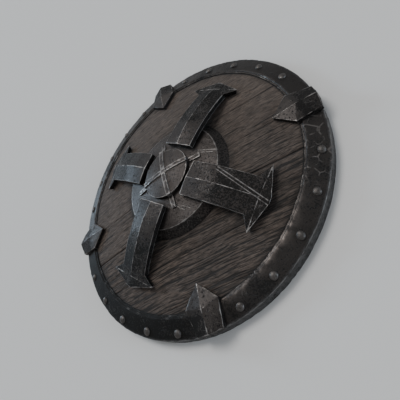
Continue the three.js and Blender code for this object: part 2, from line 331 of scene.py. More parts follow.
def new_effect(name, inputs, output):
    """An empty shader node group, with its own input and output sockets."""
    group = bpy.data.node_groups.new(name, "ShaderNodeTree")
    for label, value in inputs.items():
        kind = "NodeSocketVector" if isinstance(value, tuple) else "NodeSocketFloat"
        socket = group.interface.new_socket(label, in_out="INPUT", socket_type=kind)
        socket.default_value = value
    group.interface.new_socket(output, in_out="OUTPUT", socket_type="NodeSocketFloat")
    start = group.nodes.new("NodeGroupInput").outputs
    end = group.nodes.new("NodeGroupOutput").inputs
    return group, start, end


def effect(tree, group, **inputs):
    return put(tree, "ShaderNodeGroup", inputs, node_tree=group).outputs[0]


def new_material(name):
    """A material, its tree and its shader."""
    material = bpy.data.materials.new(name)
    material.use_nodes = True
    tree = material.node_tree
    return material, tree, tree.nodes["Principled BSDF"]


def raise_surface(tree, shader, height, strength, distance):
    bump = put(tree, "ShaderNodeBump", {"Height": height, "Strength": strength, "Distance": distance})
    tree.links.new(bump.outputs[0], shader.inputs["Normal"])


# Rubbed edges: the mark of each edge, broken up so that some stretches stay dark
rub_effect, given, out = new_effect("rubbed edges", {"Rubbed": 0, "Scale": 60, "Share": 0.5}, "Mask")
tree = rub_effect
uneven = noise(tree, place_on_piece(tree), given["Scale"], 4, 0.6)
level_of_rub = calc(tree, "MULTIPLY_ADD", given["Rubbed"], 0.62, uneven)
threshold = calc(tree, "SUBTRACT", 1.28, calc(tree, "MULTIPLY", given["Share"], 0.5))
over = calc(tree, "SUBTRACT", level_of_rub, threshold)
tree.links.new(ramp(tree, over, -0.03, 0.14), out["Mask"])

# Scratches: long thin lines in one direction, in scattered groups
scratch_inputs = {"Turn": 0, "Length": 14, "Fineness": 150, "Width": 0.012, "Share": 0.5}
scratch_effect, given, out = new_effect("scratches", scratch_inputs, "Mask")
tree = scratch_effect
where = place_on_piece(tree)
turn = {"Vector": where, "Angle": given["Turn"]}
turned = put(tree, "ShaderNodeVectorRotate", turn, rotation_type="Z_AXIS").outputs[0]
drawn = vector_calc(tree, "MULTIPLY", turned, joined(tree, given["Length"], given["Fineness"], 40.0))
off_line = calc(tree, "ABSOLUTE", calc(tree, "SUBTRACT", noise(tree, drawn, 1.0, 1.0), 0.5))
thin = ramp(tree, calc(tree, "DIVIDE", off_line, given["Width"]), 0.0, 1.0, 1.0, 0.0)
gate_level = calc(tree, "SUBTRACT", 0.75, calc(tree, "MULTIPLY", given["Share"], 0.4))
gate = ramp(tree, calc(tree, "SUBTRACT", noise(tree, where, 22.0), gate_level), 0.0, 0.06)
tree.links.new(calc(tree, "MULTIPLY", thin, gate), out["Mask"])

# Scale: broad soft patches where the forge's dark scale has stayed on
scale_effect, given, out = new_effect("forge scale", {"Size": 24, "Share": 0.5}, "Mask")
tree = scale_effect
cloud = noise(tree, place_on_piece(tree), given["Size"], 4.0, 0.6)
edge_level = calc(tree, "SUBTRACT", 0.80, calc(tree, "MULTIPLY", given["Share"], 0.5))
tree.links.new(ramp(tree, calc(tree, "SUBTRACT", cloud, edge_level), -0.08, 0.10), out["Mask"])

# Pits: fine dark specks, few on clean steel and crowded where the scale is
pit_effect, given, out = new_effect("pits", {"Scale": 360, "Share": 0.3}, "Mask")
tree = pit_effect
specks = noise(tree, place_on_piece(tree), given["Scale"], 3.0, 0.65)
pit_level = calc(tree, "MULTIPLY_ADD", given["Share"], 0.42, 0.30)
tree.links.new(ramp(tree, calc(tree, "SUBTRACT", pit_level, specks), -0.03, 0.05), out["Mask"])

# Gouges: one long scratch between two places, seen from above
gouge_inputs = {"Start": (0.0, 0.0, 0.0), "End": (0.1, 0.0, 0.0), "Width": 0.001}
gouge_effect, given, out = new_effect("gouge", gouge_inputs, "Mask")
tree = gouge_effect
where = place_on_piece(tree)
away = vector_calc(tree, "SUBTRACT", vector_calc(tree, "MULTIPLY", where, (1, 1, 0)), given["Start"])
run = vector_calc(tree, "SUBTRACT", given["End"], given["Start"])
along = vector_calc(tree, "DOT_PRODUCT", away, run)
along = calc(tree, "DIVIDE", along, vector_calc(tree, "DOT_PRODUCT", run, run))
nearest = scaled(tree, run, put(tree, "ShaderNodeClamp", {"Value": along}).outputs[0])
off = calc(tree, "DIVIDE", vector_calc(tree, "DISTANCE", away, nearest), given["Width"])
patchy = ramp(tree, noise(tree, where, 110.0), 0.34, 0.52, 0.15, 1.0)
tree.links.new(calc(tree, "MULTIPLY", ramp(tree, off, 0.35, 1.0, 1.0, 0.0), patchy), out["Mask"])

# The scratches run three ways: the turn, length, fineness and width of each
scratch_runs = [(0.45, 12.0, 170.0, 0.010), (-0.95, 16.0, 210.0, 0.009), (1.75, 20.0, 150.0, 0.008)]


def steel(name, plain, dark, bright, patch_size, patchy, pitted, scratched, rub_share, gouges=()):
    """Forged steel: a plain colour, specks and patches of dark scale, scratches that cross, rubbed edges.
    Where a piece carries the grime and shade mark it gets more scale and pits, which on some pieces is
    painted shade.
    """
    material, tree, shader = new_material(name)
    where = place_on_piece(tree)
    # The grime and shade mark: more dark scale and pits, real scale on some pieces and painted shade on
    # others.
    grime = mark(tree, "grime")
    scaly = calc(tree, "MULTIPLY_ADD", grime, 0.35, patchy)
    patches = effect(tree, scale_effect, Size=patch_size, Share=scaly)
    crowded = calc(tree, "MULTIPLY_ADD", patches, 0.34, calc(tree, "MULTIPLY_ADD", grime, 0.22, pitted))
    pits = effect(tree, pit_effect, Scale=330.0, Share=crowded)
    rub = effect(tree, rub_effect, Rubbed=mark(tree, "rubbed"), Scale=70.0, Share=rub_share)
    lined = 0.0
    for turn, length, fineness, width in scratch_runs:
        sizes = {"Turn": turn, "Length": length, "Fineness": fineness, "Width": width}
        lined = calc(tree, "MAXIMUM", lined, effect(tree, scratch_effect, **sizes, Share=scratched))
    lined = calc(tree, "MULTIPLY", lined, 0.4)
    for start, end, width in gouges:
        cut = effect(tree, gouge_effect, Start=start + (0.0,), End=end + (0.0,), Width=width)
        lined = calc(tree, "MAXIMUM", lined, cut)
    clouds = ramp(tree, noise(tree, where, 9.0, 3.0), 0.3, 0.7, 0.80, 1.20)
    grain = ramp(tree, noise(tree, where, 600.0, 2.0, 0.7), 0.3, 0.7, 0.80, 1.22)
    base = tint(tree, calc(tree, "MULTIPLY", patches, 0.45), plain, dark)
    base = tint(tree, calc(tree, "MULTIPLY", pits, 0.85), base, dark)
    toned = scaled(tree, base, calc(tree, "MULTIPLY", clouds, grain))
    toned = tint(tree, lined, toned, bright)
    toned = tint(tree, rub, toned, bright)
    tree.links.new(toned, shader.inputs["Base Color"])
    shine = calc(tree, "MULTIPLY_ADD", pits, 0.20, 0.46)
    shine = calc(tree, "SUBTRACT", shine, calc(tree, "MULTIPLY", rub, 0.12))
    tree.links.new(shine, shader.inputs["Roughness"])
    shader.inputs["Metallic"].default_value = 0.75
    sunk = calc(tree, "MULTIPLY_ADD", lined, 0.12, pits)
    relief = calc(tree, "MULTIPLY_ADD", sunk, -1.0, calc(tree, "MULTIPLY", grain, 0.5))
    raise_surface(tree, shader, relief, 0.55, 0.0007)
    return material


def finish_piece(piece, material, slot, *nodes):
    """Gives a piece its material, hangs it on the root body, and hides the model's parts that it takes the
    place of.
    """
    piece.data.materials.clear()
    piece.data.materials.append(material)
    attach(piece, "root")
    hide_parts(*nodes)


flange_radius = rim_radius - back_flange_width
flange_top = board_back(flange_radius) - bedding_gap
rim_outline = [
    (rim_radius, 0),
    (rim_radius, rim_depth),
    (lip_radius, lip_height),
    (lip_radius - rim_sheet, lip_height - rim_sheet / 2),
    (lip_radius - rim_sheet, foot_top(lip_radius - rim_sheet)),
    (foot_radius, foot_top(foot_radius)),
    (foot_radius, board_top(foot_radius) + fit_gap),
    (lip_radius, board_top(lip_radius) + fit_gap),
    (lip_radius, rim_face(lip_radius) - rim_sheet),
    (rim_radius - rim_sheet, rim_face(rim_radius - rim_sheet) - rim_sheet),
    (rim_radius - rim_sheet, rim_sheet),
    (rim_radius - rest_ring_width, rim_sheet),
    (flange_radius, flange_top),
    (flange_radius, flange_top - rim_sheet),
    (rim_radius - rest_ring_width, 0),
]
rim = turned_piece("rim_band", rim_outline, 0.0045, 440)
round_edges(rim, edge_rounding, 12)
points = mesh_points(rim.data)
lip_wear = np.where(off_axis(points) < lip_radius + 0.004, 0.78, 1)
# The outer wall, which is given a painted sheen.
wall_for_sheen = (off_axis(points) > rim_radius - 0.0012) & (points[:, 2] > 0.003)
forge(rim, ["rim"], seed=11, dents=0.0005, dent_size=0.035, nicks=0.0012, edge_wear=lip_wear)

# The right part of the rim's face is cracked by the hammer. Along the inner edge of its lower part the face
# has lighter warm patches, partly wear and partly painted highlight. Its outer wall is lighter and mottled
# all round, a painted sheen, and from bearing -85° round to -180° the rim has more scale and pits.
# Angles are in degrees round the shield from the +X axis.
points = mesh_points(rim.data)
from_axis = off_axis(points)
bearing = np.degrees(np.arctan2(points[:, 1], points[:, 0]))
on_face = (from_axis > lip_radius - 0.004) & (points[:, 2] > rim_depth - 0.002)
uneven = random_field(points, 0.012, 14)
cracked = smooth_step(bearing + 3 * uneven, -36, -24) * smooth_step(bearing, 2, -2) * on_face
# The lower side of the face: lighter warm patches along the lip, partly wear and partly painted highlight.
lip_sheen_side = smooth_step(bearing, -96, -80) * smooth_step(bearing, -30, -48)
worn = lip_sheen_side * on_face * np.exp(-np.maximum(from_axis - lip_radius, 0) / 0.0045) * (0.75 + 0.5 * uneven)
set_marks(
    rim.data,
    cracked=cracked,
    scuffed=1.0 * wall_for_sheen,
    worn=np.clip(worn, 0, 1),
    # Darker from bearing -85° round to -180°: more scale and pits there.
    grime=1.3 * smooth_step(-bearing, 85, 115),
)
rim_steel = steel(
    "rim steel",
    plain=(0.034, 0.030, 0.028, 1),
    dark=(0.013, 0.0125, 0.012, 1),
    bright=(0.19, 0.185, 0.18, 1),
    patch_size=20,
    patchy=0.45,
    pitted=0.22,
    scratched=0.25,
    rub_share=0.55,
)
tree = rim_steel.node_tree
base_colour = tree.nodes["Principled BSDF"].inputs["Base Color"]
where = place_on_piece(tree)
# Painted sheen: the outer wall is made lighter, in mottled patches.
wall_sheen = ramp(tree, noise(tree, where, 170.0, 4.0, 0.65), 0.38, 0.64, 0.10, 0.75)
wall_sheen = calc(tree, "MULTIPLY", mark(tree, "scuffed"), wall_sheen)
# Lighter warm patches along the lip, partly wear and partly painted highlight.
lip_sheen_patch = ramp(tree, noise(tree, where, 55.0, 3.0, 0.6), 0.42, 0.58, 0.15, 1.0)
lip_sheen_patch = calc(tree, "MULTIPLY", mark(tree, "worn"), lip_sheen_patch)
cells = {"Vector": where, "Scale": 48.0}
borders = put(tree, "ShaderNodeTexVoronoi", cells, feature="DISTANCE_TO_EDGE").outputs["Distance"]
broken = ramp(tree, noise(tree, where, 75.0), 0.43, 0.57, 0.0, 0.9)
crack = calc(tree, "MULTIPLY", ramp(tree, borders, 0.030, 0.060, 1.0, 0.0), broken)
crack = calc(tree, "MULTIPLY", crack, mark(tree, "cracked"))
steel_colour = base_colour.links[0].from_socket
steel_colour = tint(tree, wall_sheen, steel_colour, (0.135, 0.135, 0.137, 1))
steel_colour = tint(tree, lip_sheen_patch, steel_colour, (0.225, 0.190, 0.170, 1))
steel_colour = tint(tree, crack, steel_colour, (0.135, 0.122, 0.115, 1))
tree.links.new(steel_colour, base_colour)
finish_piece(rim, rim_steel, "rim_steel", "rim")


# Rivets
# Round-headed steel rivets that hold the rim to the board, set in rows of five by eye and hammered,
# so that no two heads are quite alike. Their shanks go into the wood.
rivet_rows = [(47.7, 0.281), (133.5, 0.284), (227.9, 0.2885), (310.8, 0.286)]
rivets_in_row = 5
rivet_pitch = 14.4
rivet_head_radius = 0.0075
rivet_head_height = 0.0040
rivet_shank_radius = 0.0025
rivet_shank_length = 0.010
face_lean = math.atan((lip_height - rim_depth) / rim_face_width)


def rivet_tree():
    """A field of domed heads with shanks: one on each point, square to the point's own direction."""
    tree = bpy.data.node_groups.new("round heads", "GeometryNodeTree")
    sockets = {"Points": "Geometry", "Head Radius": "Float", "Head Height": "Float", "Shank Radius": "Float"}
    sockets.update({"Shank Length": "Float", "Seed": "Int", "Material": "Material"})
    for label, kind in sockets.items():
        tree.interface.new_socket(label, in_out="INPUT", socket_type=f"NodeSocket{kind}")
    tree.interface.new_socket("Heads", in_out="OUTPUT", socket_type="NodeSocketGeometry")
    given = tree.nodes.new("NodeGroupInput").outputs
    roundness = {"Segments": 20, "Rings": 14, "Radius": given["Head Radius"]}
    ball = put(tree, "GeometryNodeMeshUVSphere", roundness)
    axes = parted(tree, tree.nodes.new("GeometryNodeInputPosition").outputs[0])
    share = calc(tree, "DIVIDE", axes["Z"], given["Head Radius"])
    dome = calc(tree, "MULTIPLY", share, given["Head Height"])
    from_axis = vector_calc(tree, "LENGTH", joined(tree, axes["X"], axes["Y"], 0.0))
    on_shank = calc(tree, "LESS_THAN", from_axis, given["Shank Radius"])
    shank = calc(tree, "MULTIPLY", on_shank, calc(tree, "MULTIPLY", given["Shank Length"], -1.0))
    above = calc(tree, "GREATER_THAN", axes["Z"], 0.0)
    height = calc(tree, "MULTIPLY_ADD", above, calc(tree, "SUBTRACT", dome, shank), shank)
    shaped = joined(tree, axes["X"], axes["Y"], height)
    head = put(tree, "GeometryNodeSetPosition", {"Geometry": ball.outputs["Mesh"], "Position": shaped})
    direction = put(tree, "GeometryNodeInputNamedAttribute", {"Name": "direction"}, data_type="FLOAT_VECTOR")
    heading = {"Vector": direction.outputs["Attribute"]}
    facing = put(tree, "FunctionNodeAlignRotationToVector", heading, axis="Z")
    limits = {"Min": (0.92, 0.92, 0.85), "Max": (1.06, 1.06, 1.12), "Seed": given["Seed"]}
    uneven = put(tree, "FunctionNodeRandomValue", limits, data_type="FLOAT_VECTOR").outputs[0]
    spread = {
        "Points": given["Points"],
        "Instance": head.outputs[0],
        "Rotation": facing.outputs[0],
        "Scale": uneven,
    }
    heads = put(tree, "GeometryNodeInstanceOnPoints", spread).outputs[0]
    real = put(tree, "GeometryNodeRealizeInstances", {"Geometry": heads}).outputs[0]
    clad = put(tree, "GeometryNodeSetMaterial", {"Geometry": real, "Material": given["Material"]})
    put(tree, "NodeGroupOutput", {"Heads": clad.outputs[0]})
    return tree


round_heads = rivet_tree()


def headed(name, places, directions, sizes, seed, material):
    """Round heads on a list of places, as one plain mesh."""
    piece = linked_piece(name, places)
    held = piece.data.attributes.new("direction", "FLOAT_VECTOR", "POINT")
    held.data.foreach_set("vector", np.array(directions, np.float32).ravel())
    nodes = piece.modifiers.new("heads", "NODES")
    nodes.node_group = round_heads
    values = {**sizes, "Seed": seed, "Material": material}
    for item in round_heads.interface.items_tree:
        if item.name in values:
            nodes[item.identifier] = values[item.name]
    return made_plain(piece)


rivet_places, rivet_directions = [], []
for middle, radius in rivet_rows:
    for k in range(rivets_in_row):
        angle = math.radians(middle + (k - (rivets_in_row - 1) / 2) * rivet_pitch)
        outward = np.array([math.cos(angle), math.sin(angle), 0])
        up = np.array([0, 0, 1])
        rivet_directions.append(outward * math.sin(face_lean) + up * math.cos(face_lean))
        rivet_places.append(outward * radius + up * (rim_face(radius) + fit_gap))

rivet_steel = steel(
    "rivet steel",
    plain=(0.096, 0.087, 0.081, 1),
    dark=(0.038, 0.035, 0.033, 1),
    bright=(0.16, 0.15, 0.145, 1),
    patch_size=60,
    patchy=0.35,
    pitted=0.20,
    scratched=0.5,
    rub_share=0.2,
)
rivet_sizes = {
    "Head Radius": rivet_head_radius,
    "Head Height": rivet_head_height,
    "Shank Radius": rivet_shank_radius,
    "Shank Length": rivet_shank_length,
}
rivets = headed("rivet_heads", rivet_places, rivet_directions, rivet_sizes, 4, rivet_steel)
rivet_nodes = [f"rivet_{k + 1}" for k in range(len(rivet_places))]
forge(rivets, rivet_nodes, seed=21, dents=0.0003, dent_size=0.006, nicks=0)
finish_piece(rivets, rivet_steel, "rim_steel", *rivet_nodes)


# Planks
# Eight planks of weathered wood side by side, bent to a shallow dome, with the grain standing open on
# the face. They are cut to the round, go inside the rim, and the middle two have the hole for the hand.
planks_across = 8
outer_plank_width = 0.0572
seam_gap = 0.0005
hand_hole_radius = 0.062
board_radius = rim_radius - rim_sheet - fit_gap
across_step = 0.0012
along_step = 0.0045
groove_depth = 0.0009
fibre_depth = 0.00035
seam_wear = [0.0, 0.35, 0.6, 1.0, 0.35, 0.08, 0.08, 0.2, 0.0]
plank_tone = [0.50, 0.55, 0.42, 0.58, 0.52, 0.60, 0.46, 0.52]
plank_openness = [0.9, 1.0, 0.95, 0.7, 0.45, 0.35, 0.3, 0.4]
seam_depth = 0.0022
seam_rounding = 0.0016
seam_darkness = 0.0013
# How far the painted shade on the planks reaches in from the rim's foot, and where it starts and is full
# round the boss.
rim_grime_width = 0.012
boss_grime_start = 0.140
boss_grime_full = 0.124


def closed_between(name, plan, top, under, rows, under_plan=None):
    """A closed solid between two heights over one grid of plan points, with walls round its border.
    The underside may have a plan of its own."""
    count, width = top.shape
    upper = np.dstack([plan, top]).reshape(-1, 3)
    lower = np.dstack([plan if under_plan is None else under_plan, under]).reshape(-1, 3)
    number = np.arange(count * width).reshape(count, width)
    border = np.concatenate([number[0, :], number[1:, -1], number[-1, -2::-1], number[-2:0:-1, 0]])
    share = np.linspace(0, 1, rows + 1)[1:-1]
    between = [upper[border] + (lower[border] - upper[border]) * s for s in share]
    points = np.concatenate([upper, lower, *between])
    quads = grid_faces(count, width)
    rings = [border]
    rings += [2 * len(upper) + k * len(border) + np.arange(len(border)) for k in range(len(share))]
    rings.append(border + len(upper))
    faces = [quads, quads[:, ::-1] + len(upper)]
    for a, b in zip(rings, rings[1:]):
        faces.append(np.stack([a, b, np.roll(b, -1), np.roll(a, -1)], axis=1))
    return new_piece(name, points, np.concatenate(faces))


def open_grain(plan, seed):
    """How deep the wood is worn between its fibres, as shares: fine fibres, and longer grooves."""
    flat = np.column_stack([plan, np.full(len(plan), seed * 0.37)])
    bent = flat.copy()
    bent[:, 1] += 0.004 * random_field(flat, (0.16, 0.05, 1), seed)
    bent[:, 1] += 0.0012 * random_field(flat, (0.06, 0.02, 1), seed + 1)
    fibres = random_field(bent, (0.055, 0.0026, 1), seed + 2)
    broad = random_field(bent, (0.15, 0.0075, 1), seed + 3)
    narrow = random_field(bent, (0.11, 0.0040, 1), seed + 4)
    grooves = np.clip(smooth_step(broad, 0.30, 0.75) + 0.8 * smooth_step(narrow, 0.42, 0.8), 0, 1)
    return 0.5 + 0.5 * fibres, grooves


def along_grain(group, given, sway, deep):
    """A place on the wood, drawn out along its fibres and swaying across them."""
    where = place_on_piece(group)
    wander = calc(group, "SUBTRACT", noise(group, where, sway), 0.5)
    shift = calc(group, "MULTIPLY", wander, calc(group, "MULTIPLY", given["Bend"], 0.02))
    axes = parted(group, where)
    run = calc(group, "MULTIPLY", axes["X"], given["Along"])
    cross = calc(group, "MULTIPLY", calc(group, "ADD", axes["Y"], shift), given["Across"])
    return joined(group, run, cross, calc(group, "MULTIPLY", axes["Z"], given["Across"]) if deep else 0.0)


# Grain: streaks that run along the wood
grain_effect, given, out = new_effect("wood grain", {"Along": 5, "Across": 180, "Bend": 0.5}, "Streak")
streaks = noise(grain_effect, along_grain(grain_effect, given, 7.0, True), 1.0, 4.0, 0.62)
grain_effect.links.new(streaks, out["Streak"])

# Open grain: short dark gaps between the fibres, that run along the wood
gap_inputs = {"Along": 30, "Across": 300, "Share": 0.3, "Bend": 0.5}
gap_effect, given, out = new_effect("open grain", gap_inputs, "Mask")
lines = noise(gap_effect, along_grain(gap_effect, given, 9.0, False), 1.0, 2.0, 0.55)
gap_level = calc(gap_effect, "MULTIPLY_ADD", given["Share"], 0.13, 0.31)
gap_depth = calc(gap_effect, "SUBTRACT", gap_level, lines)
gap_effect.links.new(ramp(gap_effect, gap_depth, -0.01, 0.025), out["Mask"])


def wood(name, plain, dark, light, along=5.0, across=180.0):
    """Weathered wood: long streaks, fine fibres, dark open grain and stains, darker where it is marked (dirt
    from handling on the grip, painted shade on the planks), and a painted shadow line just inside the rim's
    foot.
    """
    material, tree, shader = new_material(name)
    where = place_on_piece(tree)
    groove = mark(tree, "groove")
    broad = effect(tree, grain_effect, Along=along, Across=across * 0.45, Bend=0.6)
    fine = effect(tree, grain_effect, Along=along * 11, Across=across * 3.6, Bend=0.4)
    hatch = effect(tree, grain_effect, Along=along * 14, Across=across * 1.7, Bend=0.4)
    open_share = calc(tree, "MULTIPLY_ADD", groove, 0.35, mark(tree, "openness"))
    short_gaps = effect(tree, gap_effect, Along=along * 9, Across=across * 2.7, Bend=0.5, Share=open_share)
    long_gaps = effect(tree, gap_effect, Along=along * 2.3, Across=across * 1.5, Bend=0.6, Share=open_share)
    gaps = calc(tree, "MAXIMUM", calc(tree, "MULTIPLY", short_gaps, 0.8), long_gaps)
    colour = tint(tree, ramp(tree, broad, 0.30, 0.62, 0.62, 1.0), dark, plain)
    colour = tint(tree, ramp(tree, fine, 0.50, 0.72, 0.0, 0.7), colour, light)
    colour = tint(tree, ramp(tree, fine, 0.46, 0.30, 0.0, 0.55), colour, dark)
    axes = parted(tree, where)
    from_axis = vector_calc(tree, "LENGTH", joined(tree, axes["X"], axes["Y"], 0.0))
    level = ramp(tree, noise(tree, where, 8.0, 4.0, 0.6), 0.35, 0.75, 1.12, 0.82)
    shades = [
        ramp(tree, mark(tree, "tone"), 0.0, 1.0, 0.80, 1.20),
        # Painted shade: darker where the mark is set, by the rim and round the boss; on the grip it is dirt
        # from handling.
        ramp(tree, mark(tree, "grime"), 0.0, 1.0, 1.0, 0.40),
        ramp(tree, groove, 0.0, 1.0, 1.0, 0.60),
        # Painted shadow: a dark ring on the wood just inside the rim's foot.
        ramp(tree, from_axis, foot_radius - 0.0035, foot_radius - 0.0012, 1.0, 0.12),
        ramp(tree, gaps, 0.0, 1.0, 1.0, 0.20),
        ramp(tree, hatch, 0.38, 0.60, 0.60, 1.14),
    ]
    for shade in shades:
        level = calc(tree, "MULTIPLY", level, shade)
    tree.links.new(scaled(tree, colour, level), shader.inputs["Base Color"])
    tree.links.new(ramp(tree, fine, 0.3, 0.7, 0.90, 0.70), shader.inputs["Roughness"])
    relief = calc(tree, "MULTIPLY_ADD", gaps, -1.2, calc(tree, "MULTIPLY_ADD", broad, 0.4, fine))
    raise_surface(tree, shader, relief, 0.6, 0.0010)
    return material


board_wood = wood(
    "board wood",
    plain=(0.094, 0.070, 0.056, 1),
    dark=(0.029, 0.0205, 0.016, 1),
    light=(0.140, 0.110, 0.091, 1),
)


def combine(piece, other, operation):
    """Joins another piece to this one, or cuts it out of it, and takes it away."""
    change = piece.modifiers.new("change", "BOOLEAN")
    change.operation = operation
    change.solver = "EXACT"
    change.object = other
    made_plain(piece)
    bpy.data.objects.remove(other)


def cut_hole(piece, radius, low, high, around=96):
    """Cuts a round hole through a piece, square to the board."""
    outline = [(0.0, low), (radius, low), (radius, high), (0.0, high)]
    cutter = turned_piece("cutter", outline, 1.0, around)
    combine(piece, cutter, "DIFFERENCE")


def seam_mark(k, low, high, y, width):
    """How strongly a plank is marked beside its two seams, at a place across the board."""
    return seam_wear[k] * np.exp(-(y - low) / width) + seam_wear[k + 1] * np.exp(-(high - y) / width)


inner_reach = board_radius - outer_plank_width
inner_seams = np.linspace(-inner_reach, inner_reach, planks_across - 1)
seams = [-board_radius - seam_gap, *inner_seams, board_radius + seam_gap]

for k in range(planks_across):
    low = max(seams[k] + seam_gap / 2, -board_radius)
    high = min(seams[k + 1] - seam_gap / 2, board_radius)
    across = np.linspace(low, high, math.ceil((high - low) / across_step) + 1)
    half_chord = np.sqrt(np.maximum(board_radius**2 - across**2, 0))
    share = np.linspace(-1, 1, math.ceil(2 * half_chord.max() / along_step) + 1)
    x = np.outer(share, half_chord)
    y = np.broadcast_to(across, x.shape)
    radius = np.hypot(x, y)
    plan = np.dstack([x, y])
    fibres, grooves = open_grain(plan.reshape(-1, 2), 40 + 10 * k)
    fibres, grooves = fibres.reshape(x.shape), plank_openness[k] * grooves.reshape(x.shape)
    rounded = seam_depth * np.clip(seam_mark(k, low, high, y, seam_rounding), 0, 1)
    sunk = fibre_depth * (1 - fibres) + groove_depth * grooves + rounded
    under_rim = rim_face(radius) - rim_sheet - fit_gap
    top = np.where(radius > lip_radius, np.minimum(board_top(radius), under_rim), board_top(radius))
    shown = smooth_step(foot_radius + 0.001 - radius, 0, 0.002)
    under = board_back(radius) + 0.0003 * fibres + 0.0005 * grooves
    plank = closed_between(f"board_plank_{k + 1}", plan, top - sunk * shown, under, 4)
    if abs(low) < hand_hole_radius or abs(high) < hand_hole_radius:
        cut_hole(plank, hand_hole_radius, 0.0, 0.1)
    points = mesh_points(plank.data)
    grooves = open_grain(points[:, :2], 40 + 10 * k)[1]
    seam_dark = seam_mark(k, low, high, points[:, 1], seam_darkness)
    ragged = off_axis(points) + 0.006 * random_field(points, 0.03, 7)
    # Painted shade: the planks are marked darker towards the rim's foot and round the boss.
    shade_by_rim = smooth_step(ragged, foot_radius - rim_grime_width, foot_radius + 0.002)
    shade_by_boss = smooth_step(ragged, boss_grime_start, boss_grime_full)
    set_marks(
        plank.data,
        groove=np.clip(plank_openness[k] * grooves + 1.5 * seam_dark, 0, 1),
        tone=plank_tone[k],
        openness=plank_openness[k],
        grime=np.clip(0.7 * shade_by_rim + 0.8 * shade_by_boss, 0, 1),
    )
    smooth_shading(plank.data)
    finish_piece(plank, board_wood, "board_wood", f"plank_{k + 1}")


# Boss plate
# A round plate of steel with a low sloping wall, dished over the hole to give the fist room. Its top
# edge is rubbed bright, and its wall is darkened with scale and pits as painted shade.
boss_radius = 0.126
boss_wall_run = 0.016
boss_wall_height = 0.0148
boss_slope = 0.177
boss_sheet = 0.003
boss_upper_side = 0.056
cap_radius = 0.052
cap_seat = 0.007

boss_edge_radius = boss_radius - boss_wall_run
boss_edge_height = board_top(boss_radius) + boss_wall_height
boss_hole_radius = cap_radius - cap_seat


def boss_face(radius):
    return boss_edge_height + (boss_edge_radius - radius) * boss_slope


wall_shift = boss_sheet * math.hypot(boss_wall_run, boss_wall_height) / boss_wall_height
inner_edge = boss_edge_radius - boss_sheet / 2
boss_outline = [
    (boss_radius, board_top(boss_radius) + fit_gap),
    (boss_edge_radius, boss_edge_height),
    (boss_hole_radius, boss_face(boss_hole_radius)),
    (boss_hole_radius, boss_face(boss_hole_radius) - boss_sheet),
    (inner_edge, boss_face(inner_edge) - boss_sheet),
    (boss_radius - wall_shift, board_top(boss_radius - wall_shift) + fit_gap),
]
boss_plate = turned_piece("boss_dish", boss_outline, 0.003, 260)
round_edges(boss_plate, edge_rounding, 12)
points = mesh_points(boss_plate.data)
from_axis = off_axis(points)
at_edge = np.clip(1 - np.abs(from_axis - boss_edge_radius) / rubbed_width, 0, 1)
wear = {
    "worn": 0.9 * at_edge * (points[:, 2] > boss_upper_side),
    "edge_wear": np.where(from_axis > boss_edge_radius + 0.004, 0.25, 1),
}
forge(boss_plate, ["boss_plate"], seed=31, dents=0.0005, dent_size=0.028, **wear)
# Painted shade: the sloping wall is marked for more dark scale and pits.
set_marks(boss_plate.data, grime=smooth_step(from_axis, boss_edge_radius - 0.0005, boss_edge_radius + 0.003))
boss_steel = steel(
    "boss steel",
    plain=(0.046, 0.039, 0.036, 1),
    dark=(0.015, 0.0135, 0.0125, 1),
    bright=(0.22, 0.205, 0.195, 1),
    patch_size=22,
    patchy=0.20,
    pitted=0.25,
    scratched=0.7,
    rub_share=0.95,
    gouges=[
        ((0.0761, 0.0126), (0.1115, -0.0058), 0.0011),
        ((0.0735, 0.0085), (0.1020, -0.0062), 0.0009),
        ((-0.0070, -0.0640), (0.0180, -0.0910), 0.0008),
        ((0.0020, -0.0700), (0.0300, -0.0930), 0.0007),
    ],
)
finish_piece(boss_plate, boss_steel, "fitting_steel", "boss_plate")


# Boss cap
# A small domed lid of steel over the middle of the boss, with two raised bands forged across it. The
# bands cross at the top, run down its wall and end on the boss plate.
cap_wall_height = 0.0075
cap_rise = 0.005
cap_sheet = 0.003
band_width = 0.009
band_thickness = 0.0024
band_reach = 0.078

cap_edge_height = boss_face(cap_radius) + fit_gap + cap_wall_height
cap_curve = (cap_radius**2 + cap_rise**2) / (2 * cap_rise)


def cap_top(radius):
    return cap_edge_height + cap_rise - sagitta(cap_curve, radius)


dome_steps = np.linspace(0, cap_radius, 22)
inner_steps = np.linspace(cap_radius - cap_sheet, 0, 16)
cap_outline = [(0.0, float(cap_top(0)))]
cap_outline += [(float(r), float(cap_top(r))) for r in dome_steps[1:]]
cap_outline.append((cap_radius, boss_face(cap_radius) + fit_gap))
cap_outline.append((cap_radius - cap_sheet, boss_face(cap_radius - cap_sheet) + fit_gap))
cap_outline += [(float(r), float(cap_top(r)) - cap_sheet) for r in inner_steps]
cap = turned_piece("boss_cap_domed", cap_outline, 0.004, 150)


def turned_plan(x, y, turn):
    return np.dstack([x * math.cos(turn) - y * math.sin(turn), x * math.sin(turn) + y * math.cos(turn)])


def band(name, turn):
    """A strip that follows the cap's dome and wall, and the boss plate, at one thickness."""
    outside = cap_radius + band_thickness
    inner = cap_radius - cap_sheet
    reach = np.concatenate([np.arange(0, inner, 0.0025), [inner, inner + 0.0002, cap_radius]])
    past_cap = np.linspace(outside + 0.003, band_reach, 8)
    reach = mirrored(np.concatenate([reach, [outside - 0.0002, outside], past_cap]))
    side = np.linspace(-band_width / 2, band_width / 2, 5)
    x = np.broadcast_to(reach[:, None], (len(reach), len(side)))
    y = np.broadcast_to(side, x.shape)
    away = np.abs(x)
    on_cap = np.clip(away, 0, cap_radius)
    on_plate = boss_face(away) + fit_gap
    top = np.where(away < outside - 0.0001, cap_top(on_cap), on_plate) + band_thickness
    under = np.where(away <= inner, cap_top(on_cap) - cap_sheet / 2, on_plate)
    return closed_between(name, turned_plan(x, y, turn), top, under, 3)


